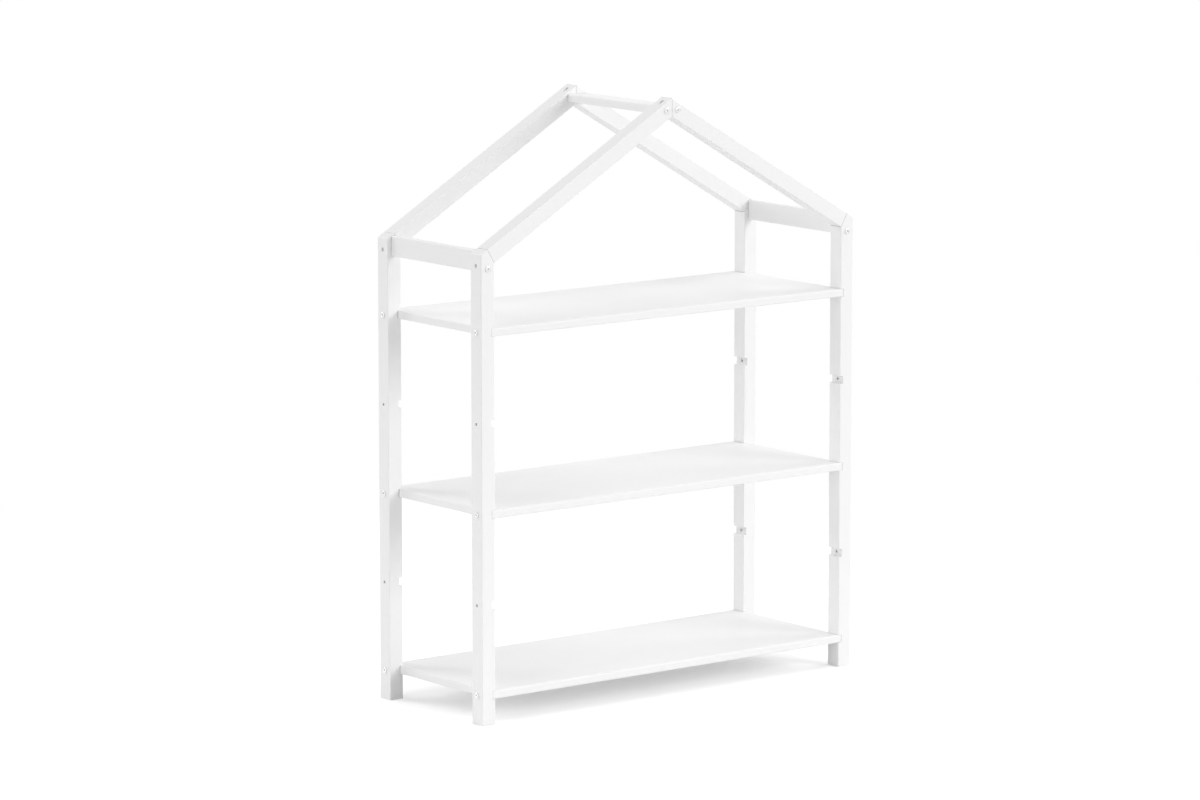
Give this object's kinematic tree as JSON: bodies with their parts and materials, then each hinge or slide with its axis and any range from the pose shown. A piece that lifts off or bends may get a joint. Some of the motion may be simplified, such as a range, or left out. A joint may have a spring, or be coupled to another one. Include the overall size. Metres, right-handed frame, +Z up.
{
  "type": "house shaped bookcase",
  "caption": "Open children's bookcase in white lacquered wood: a house outline of notched posts and a rafter roof, with bolted shelves and spare notches for more.",
  "frame": {"origin": "centre of the footprint, on the floor", "axes": "+X to the right along the front, +Y from the front to the back, +Z up"},
  "size_m": [1.0044, 0.3644, 1.2717],
  "materials": {
    "frame_lacquer": "white satin lacquer on pine",
    "shelf_lacquer": "white satin lacquer on edge-glued pine board",
    "bolt_steel": "bright zinc plating",
    "insert_steel": "zinc plating",
    "beech": "bare beech"
  },
  "bodies": {
    "root": {"post_front_left": "frame_lacquer", "post_front_right": "frame_lacquer", "post_back_left": "frame_lacquer", "post_back_right": "frame_lacquer", "rafter_front_left": "frame_lacquer", "rafter_front_right": "frame_lacquer", "rafter_back_left": "frame_lacquer", "rafter_back_right": "frame_lacquer", "eave_rail_left": "frame_lacquer", "eave_rail_right": "frame_lacquer", "ridge_beam": "frame_lacquer", "shelf_bottom": "shelf_lacquer", "shelf_middle": "shelf_lacquer", "shelf_top": "shelf_lacquer", "shelf_bolts": "bolt_steel", "rail_bolts": "bolt_steel", "ridge_bolts": "bolt_steel", "eave_screws": "bolt_steel", "peak_screws": "bolt_steel", "peak_sleeves": "bolt_steel", "shelf_inserts": "insert_steel", "rail_inserts": "insert_steel", "ridge_inserts": "insert_steel", "eave_inserts": "insert_steel", "rail_dowels": "beech", "eave_dowels": "beech", "peak_dowels": "beech"}
  },
  "joints": []
}
